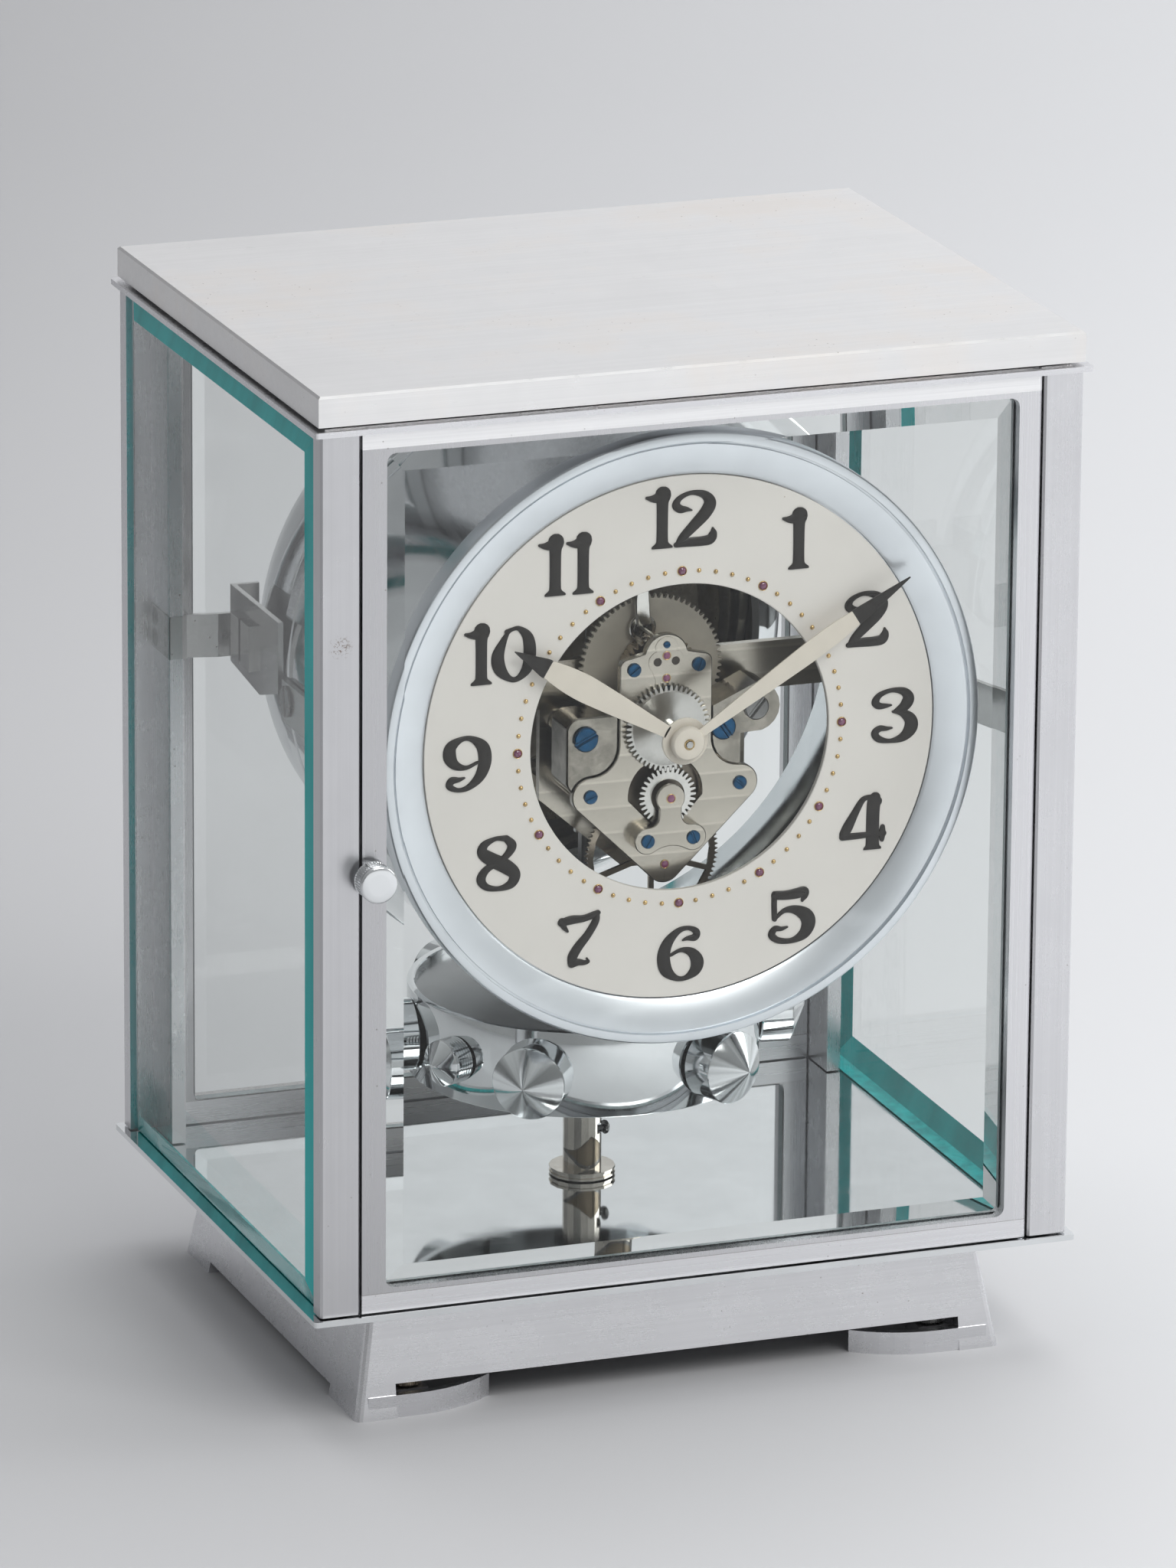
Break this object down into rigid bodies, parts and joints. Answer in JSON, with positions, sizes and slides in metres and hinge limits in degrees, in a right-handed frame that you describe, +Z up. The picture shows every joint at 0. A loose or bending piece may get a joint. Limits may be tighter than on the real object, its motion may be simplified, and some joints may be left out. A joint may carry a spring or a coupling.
{
  "type": "table clock",
  "caption": "Glass-cased mantel clock with an open silvered dial, a round drum movement and a slow torsion pendulum with conical weights.",
  "frame": {"origin": "centre of the bounding box on the surface that the clock stands on", "axes": "+X to the right of one who faces the dial, -Y to the front, +Z up"},
  "size_m": [0.1782, 0.1472, 0.235],
  "materials": {
    "satin_chrome": "satin",
    "bright_chrome": "polished",
    "nickel": "finely brushed nickel",
    "gilt": "gilt",
    "brass": "polished",
    "steel": "polished",
    "dial_silver": "matt silvered",
    "dark_hand": "satin",
    "glass": "clear"
  },
  "bodies": {
    "case": {"base_plinth": "satin_chrome", "lower_flange_plate": "satin_chrome", "upper_flange_plate": "satin_chrome", "lid": "satin_chrome", "post_front_left": "satin_chrome", "post_front_right": "satin_chrome", "post_rear_left": "satin_chrome", "post_rear_right": "satin_chrome", "side_glass_left": "glass", "side_glass_right": "glass", "rear_frame": "satin_chrome", "rear_glass": "glass", "bezel_ring": "satin_chrome", "drum_shell": "bright_chrome", "dial_ring": "dial_silver", "front_plate": "nickel", "main_plate": "nickel", "wheel_bridge": "nickel", "left_block": "nickel", "right_lug": "nickel", "dome_housing": "satin_chrome", "expansion_capsule": "brass", "side_bracket_left": "steel", "side_bracket_right": "steel", "strap_front_left": "steel", "strap_front_right": "steel", "strap_rear_left": "steel", "strap_rear_right": "steel", "suspension_block": "steel"},
    "door": {"door_frame": "satin_chrome", "door_glass": "glass"},
    "knob": {"door_knob": "bright_chrome"},
    "minute": {"minute_hand": "dark_hand", "minute_arbor": "steel"},
    "hour": {"hour_hand": "dark_hand", "hour_wheel": "brass"},
    "minute_wheel": {"minute_wheel": "brass"},
    "third": {"third_wheel": "brass"},
    "escape": {"escape_wheel": "gilt"},
    "barrel": {"barrel": "brass"},
    "ratchet": {"ratchet_wheel": "steel"},
    "click": {"click": "steel"},
    "lever": {"pallet_lever": "steel"},
    "follower": {"capsule_follower": "steel"},
    "pendulum": {"pendulum_ring": "bright_chrome", "pendulum_shaft": "steel", "pendulum_weight_1": "bright_chrome", "pendulum_weight_2": "bright_chrome", "pendulum_weight_3": "bright_chrome", "pendulum_weight_4": "bright_chrome", "pendulum_weight_5": "bright_chrome", "pendulum_weight_6": "bright_chrome", "trim_weight_1": "bright_chrome", "trim_weight_2": "bright_chrome"},
    "lock_sleeve": {"lock_sleeve": "nickel"},
    "lock_plunger": {"lock_plunger": "steel"},
    "wheel_left": {"levelling_wheel_left": "brass"},
    "wheel_right": {"levelling_wheel_right": "brass"},
    "foot_left": {"levelling_foot_left": "steel"},
    "foot_right": {"levelling_foot_right": "steel"}
  },
  "joints": [
    {"name": "door_hinge", "type": "hinge", "parent": "case", "child": "door", "pos_m": [0.0767, -0.06588, 0.12737], "axis": [0, 0, 1], "range_deg": [0, 100]},
    {"name": "knob_turn", "type": "hinge", "parent": "door", "child": "knob", "pos_m": [-0.0762, -0.06707, 0.12797], "axis": [0, -1, 0], "range_deg": [0, 90]},
    {"name": "minute_turn", "type": "hinge", "parent": "case", "child": "minute", "pos_m": [0, -0.04242, 0.14777], "axis": [0, 1, 0], "continuous": true},
    {"name": "hour_turn", "type": "hinge", "parent": "case", "child": "hour", "pos_m": [0, -0.04242, 0.14777], "axis": [0, 1, 0], "continuous": true},
    {"name": "minute_wheel_turn", "type": "hinge", "parent": "case", "child": "minute_wheel", "pos_m": [0, -0.04242, 0.13237], "axis": [0, 1, 0], "continuous": true},
    {"name": "third_turn", "type": "hinge", "parent": "case", "child": "third", "pos_m": [0, -0.04242, 0.11611], "axis": [0, 1, 0], "continuous": true},
    {"name": "escape_turn", "type": "hinge", "parent": "case", "child": "escape", "pos_m": [-0.0126, -0.04242, 0.12876], "axis": [0, 1, 0], "continuous": true},
    {"name": "barrel_turn", "type": "hinge", "parent": "case", "child": "barrel", "pos_m": [0.0007, -0.04242, 0.15801], "axis": [0, 1, 0], "continuous": true},
    {"name": "ratchet_turn", "type": "hinge", "parent": "case", "child": "ratchet", "pos_m": [0.0007, -0.04242, 0.15801], "axis": [0, 1, 0], "continuous": true},
    {"name": "click_lift", "type": "hinge", "parent": "case", "child": "click", "pos_m": [-0.0018, -0.04242, 0.16747], "axis": [0, 1, 0], "range_deg": [0, 8]},
    {"name": "lever_rock", "type": "hinge", "parent": "case", "child": "lever", "pos_m": [0, -0.04242, 0.12077], "axis": [0, 1, 0], "range_deg": [-4, 4]},
    {"name": "follower_push", "type": "slide", "parent": "case", "child": "follower", "axis": [0, -1, 0], "range_m": [0, 0.003]},
    {"name": "pendulum_turn", "type": "hinge", "parent": "case", "child": "pendulum", "pos_m": [0, 0.00664, 0.06447], "axis": [0, 0, 1], "range_deg": [-180, 180]},
    {"name": "lock_turn", "type": "hinge", "parent": "case", "child": "lock_sleeve", "pos_m": [0, 0.00664, 0.02947], "axis": [0, 0, 1], "range_deg": [0, 36.1]},
    {"name": "lock_lift", "type": "slide", "parent": "case", "child": "lock_plunger", "axis": [0, 0, 1], "range_m": [0, 0.0012]},
    {"name": "levelling_turn_left", "type": "hinge", "parent": "case", "child": "wheel_left", "pos_m": [-0.0619, -0.04997, 0.00647], "axis": [0, 0, 1], "range_deg": [0, 1080.1]},
    {"name": "levelling_lift_left", "type": "slide", "parent": "case", "child": "foot_left", "axis": [0, 0, 1], "range_m": [0, 0.003]},
    {"name": "levelling_turn_right", "type": "hinge", "parent": "case", "child": "wheel_right", "pos_m": [0.0619, -0.04997, 0.00647], "axis": [0, 0, 1], "range_deg": [0, 1080.1]},
    {"name": "levelling_lift_right", "type": "slide", "parent": "case", "child": "foot_right", "axis": [0, 0, 1], "range_m": [0, 0.003]}
  ],
  "couplings": [
    {"joint": "hour_turn", "follows": "minute_turn", "ratio": 0.083333},
    {"joint": "minute_wheel_turn", "follows": "minute_turn", "ratio": -0.125},
    {"joint": "third_turn", "follows": "minute_turn", "ratio": 0.66667},
    {"joint": "escape_turn", "follows": "minute_turn", "ratio": -4},
    {"joint": "barrel_turn", "follows": "minute_turn", "ratio": -0.2},
    {"joint": "lock_turn", "follows": "lock_lift", "rad_per_m": 523.6},
    {"joint": "levelling_turn_left", "follows": "levelling_lift_left", "rad_per_m": 6283.2},
    {"joint": "levelling_turn_right", "follows": "levelling_lift_right", "rad_per_m": 6283.2}
  ]
}
